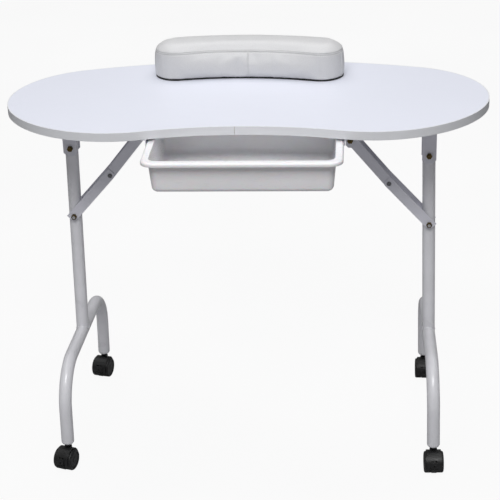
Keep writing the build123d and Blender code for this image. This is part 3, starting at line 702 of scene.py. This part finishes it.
def wrist_rest():
    """Cover, top piping, boxing seams, stitches, tucks and bottom cloth."""
    rim = outline("cushion_pad", RIM_POINTS)
    normals = normals_out(rim)
    low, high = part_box("cushion_pad")
    middle = (low + high) / 2
    front = [i for i in range(len(rim)) if normals[i].y < -0.5]
    centre_front = min(front, key=lambda i: abs(rim[i].x - middle.x))
    back = [i for i in range(len(rim)) if normals[i].y > 0.5]
    centre_back = min(back, key=lambda i: abs(rim[i].x - middle.x))
    right_end = max(range(len(rim)), key=lambda i: normals[i].dot(Vector((0.9, -0.43, 0))))
    seam_indices = [centre_front, centre_back, right_end]
    pad = shaped_pad(swollen_pad(rim), rim, [rim[i] for i in seam_indices])
    pad.data.materials.clear()
    pad.data.materials.append(MATERIALS["white_leather"])
    for polygon in pad.data.polygons:
        polygon.use_smooth = True
    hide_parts("cushion_pad")

    tree = BVHTree.FromPolygons([v.co for v in pad.data.vertices], [p.vertices for p in pad.data.polygons])
    line = [side_surface(tree, rim[i], normals[i], SEAM_Z) for i in range(len(rim))]
    smooth = [(line[i - 1] + line[i] * 2 + line[(i + 1) % len(line)]) / 4 for i in range(len(line))]
    verts, faces = tube(smooth, PIPING_R, True, 12)
    piping = new_piece("wrist_rest_piping", verts, faces, MATERIALS["white_leather"], "wrist_rest")

    ridges = []
    for i in seam_indices:
        base = low.z + BOXING_SEAM_BASE
        heights = [base + (SEAM_Z - base) * k / BOXING_SEAM_STEPS for k in range(BOXING_SEAM_STEPS + 1)]
        for shift in (-1, 1):
            along = Vector((-normals[i].y, normals[i].x, 0)) * (BOXING_SEAM_HALF * shift)
            points = [side_surface(tree, rim[i] + along, normals[i], z) for z in heights]
            ridges.append(tube(points, BOXING_SEAM_R, False, 8))
    verts, faces = joined(ridges)
    seams = new_piece("wrist_rest_boxing_seams", verts, faces, MATERIALS["white_leather"], "wrist_rest")
    stitches(tree, rim)
    pleats(tree, rim, normals)
    base_cloth(rim)


def stitches(tree, rim):
    """Running stitches through the boxing, just under the top seam."""
    total = sum((rim[i] - rim[i - 1]).length for i in range(len(rim)))
    count = int(total / STITCH_PITCH)
    path = resampled(rim, count * 2)
    path_normals = normals_out(path)
    parts = []
    height = SEAM_Z - STITCH_BELOW_SEAM
    for k in range(0, len(path), 2):
        centre = side_surface(tree, path[k], path_normals[k], height)
        centre = centre + path_normals[k] * (STITCH_R * STITCH_PROUD)
        along = Vector((-path_normals[k].y, path_normals[k].x, 0)) * (STITCH_LENGTH / 2)
        points = [centre + along * t for t in (-1.0, -0.7, 0.0, 0.7, 1.0)]
        parts.append(tube(points, STITCH_R, False, 6, taper=(0.3, 0.9, 1.0, 0.9, 0.3)))
    verts, faces = joined(parts)
    new_piece("wrist_rest_stitches", verts, faces, THREAD, "wrist_rest")


def base_cloth(rim):
    """Black cloth under the board, showing as a thin line below the cover."""
    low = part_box("cushion_bottom_cloth")[0]
    heights = [low.z + rise for rise in CLOTH_RISES]
    verts, faces = prism(rim, CLOTH_INSETS, heights)
    cloth = new_piece("wrist_rest_base_cloth", verts, faces, MATERIALS["black_cloth"], "wrist_rest")
    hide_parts("cushion_bottom_cloth")


def pleats(tree, rim, normals):
    """A few small gathers at the cover's lower edge, where it turns the tighter corners."""
    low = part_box("cushion_pad")[0]
    middle = sum(rim, Vector()) / len(rim)
    parts = []
    for angle in PLEAT_ANGLES:
        ray = Vector((math.cos(math.radians(angle)), math.sin(math.radians(angle)), 0))
        i = max(range(len(rim)), key=lambda k: (rim[k] - middle).normalized().dot(ray))
        points = []
        for height in PLEAT_HEIGHTS:
            hit = side_surface(tree, rim[i], normals[i], low.z + height)
            points.append(hit - normals[i] * PLEAT_SINK)
        parts.append(tube(points, PLEAT_R, False, 8, taper=PLEAT_TAPER))
    verts, faces = joined(parts)
    piece = new_piece("wrist_rest_pleats", verts, faces, MATERIALS["white_leather"], "wrist_rest")


# =============================================================================
# weld beads
# =============================================================================
def weld_bead(side):
    """A rippled bead round the post where it sits on the foot's cross bar."""
    foot_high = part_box(f"{side}_foot")[1]
    post_low, post_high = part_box(f"{side}_post")
    radius = (post_high.y - post_low.y) / 2
    bar_z = foot_high.z - radius
    joint = [j for j in frame["joints"] if j["name"] == f"{side}_leg_fold"][0]
    hinge = joint["pos_m"]
    sign = -1 if side == "left" else 1
    foot_x = (post_high.x - radius) if sign > 0 else (post_low.x + radius)
    lean = (foot_x - hinge[0]) / (hinge[2] - bar_z)
    points, taper = [], []
    for k in range(WELD_POINTS):
        angle = 2 * math.pi * k / WELD_POINTS
        dx, dy = radius * math.cos(angle), radius * math.sin(angle)
        rise = max(math.sqrt(max(radius**2 - dx**2, 0.0)), WELD_LOWEST * radius)
        x = foot_x + dx - lean * rise
        points.append(Vector((x, dy, bar_z + rise)))
        uneven = noise.noise(Vector((k * 0.4, 0, 0)))
        taper.append(1.0 + WELD_RIPPLE * math.sin(WELD_RIPPLES * angle) + WELD_UNEVEN * uneven)
    verts, faces = tube(points, WELD_R, True, 10, taper)
    bead = new_piece(f"{side}_weld_bead", verts, faces, MATERIALS["white_paint"], f"{side}_leg")


# =============================================================================
# studio
# =============================================================================
def floor():
    """Pale floor: bright and even to the camera, a dimmer sheet of paper to the object above it."""
    half = FLOOR_SIZE / 2
    mesh = bpy.data.meshes.new("floor")
    corners = [(-half, -half, 0), (half, -half, 0), (half, half, 0), (-half, half, 0)]
    mesh.from_pydata(corners, [], [(0, 1, 2, 3)])
    g = Graph("floor", 0.9)
    grain = g.noise(0.6, 2.0)
    g.set(Base_Color=g.mix(grain, FLOOR_BOUNCE, tone(FLOOR_BOUNCE, 1.05)), Specular_IOR_Level=0.1)
    seen = g.node("ShaderNodeEmission", {"Strength": g.span(grain, *FLOOR_SEEN)})
    camera_ray = g.node("ShaderNodeLightPath").outputs["Is Camera Ray"]
    both = g.node("ShaderNodeMixShader", {0: g.math("MULTIPLY", camera_ray, FLOOR_PAINTED)})
    g.put(both.inputs[1], g.bsdf.outputs[0])
    g.put(both.inputs[2], seen.outputs[0])
    output = g.tree.nodes["Material Output"]
    g.put(output.inputs["Surface"], both.outputs[0])
    mesh.materials.append(g.material)
    plane = bpy.data.objects.new("floor", mesh)
    bpy.context.scene.collection.objects.link(plane)


def camera():
    az, el, roll = CAMERA_AZIMUTH, CAMERA_ELEVATION, CAMERA_ROLL
    back = Vector((math.sin(az) * math.cos(el), -math.cos(az) * math.cos(el), math.sin(el)))
    right = Vector((math.cos(az), math.sin(az), 0.0))
    up = back.cross(right)
    x_axis = right * math.cos(roll) + up * math.sin(roll)
    y_axis = up * math.cos(roll) - right * math.sin(roll)
    data = bpy.data.cameras.new("camera")
    data.lens = CAMERA_LENS
    data.shift_x, data.shift_y = CAMERA_SHIFT
    data.clip_end = 100.0
    eye = bpy.data.objects.new("camera", data)
    place = Matrix((x_axis, y_axis, back)).transposed().to_4x4()
    place.translation = CAMERA_TARGET + back * CAMERA_DISTANCE
    eye.matrix_world = place
    bpy.context.scene.collection.objects.link(eye)
    bpy.context.scene.camera = eye


def softbox(name, place, target, size, power):
    data = bpy.data.lights.new(name, "AREA")
    data.shape = "RECTANGLE"
    data.size, data.size_y = size
    data.energy = power
    lamp = bpy.data.objects.new(name, data)
    lamp.location = place
    lamp.rotation_euler = (Vector(target) - Vector(place)).to_track_quat("-Z", "Y").to_euler()
    bpy.context.scene.collection.objects.link(lamp)


def lights():
    """A big key above the front, a weaker lamp overhead, and surroundings that are darker to the sides."""
    softbox("key", (-0.1, -2.4, 3.4), (0.0, 0.0, 0.5), (2.2, 1.5), 81.0)
    softbox("overhead", (0.0, 0.5, 2.9), (0.0, 0.0, 0.0), (2.6, 2.0), 34.0)
    world = bpy.data.worlds.new("studio")
    world.use_nodes = True
    nodes, links = world.node_tree.nodes, world.node_tree.links
    split = nodes.new("ShaderNodeSeparateXYZ")
    links.new(nodes.new("ShaderNodeTexCoord").outputs["Generated"], split.inputs[0])
    sideways = nodes.new("ShaderNodeMath")
    sideways.operation = "ABSOLUTE"
    links.new(split.outputs["X"], sideways.inputs[0])
    fade = nodes.new("ShaderNodeMapRange")
    limits = (*WORLD_FADE, WORLD_FRONT, WORLD_SIDE)
    for name, value in zip(("From Min", "From Max", "To Min", "To Max"), limits):
        fade.inputs[name].default_value = value
    links.new(sideways.outputs[0], fade.inputs["Value"])
    backdrop = nodes.new("ShaderNodeMix")
    backdrop.inputs["B"].default_value = FLOOR_SEEN[0]
    links.new(nodes.new("ShaderNodeLightPath").outputs["Is Camera Ray"], backdrop.inputs["Factor"])
    links.new(fade.outputs["Result"], backdrop.inputs["A"])
    links.new(backdrop.outputs["Result"], nodes["Background"].inputs["Strength"])
    nodes["Background"].inputs["Color"].default_value = (1.0, 1.0, 1.0, 1.0)
    bpy.context.scene.world = world


bpy.context.scene.view_settings.view_transform = "Standard"
paint_cad_nodes()
wrist_rest()
for leg_side in SIDES:
    weld_bead(leg_side)
floor()
camera()
lights()
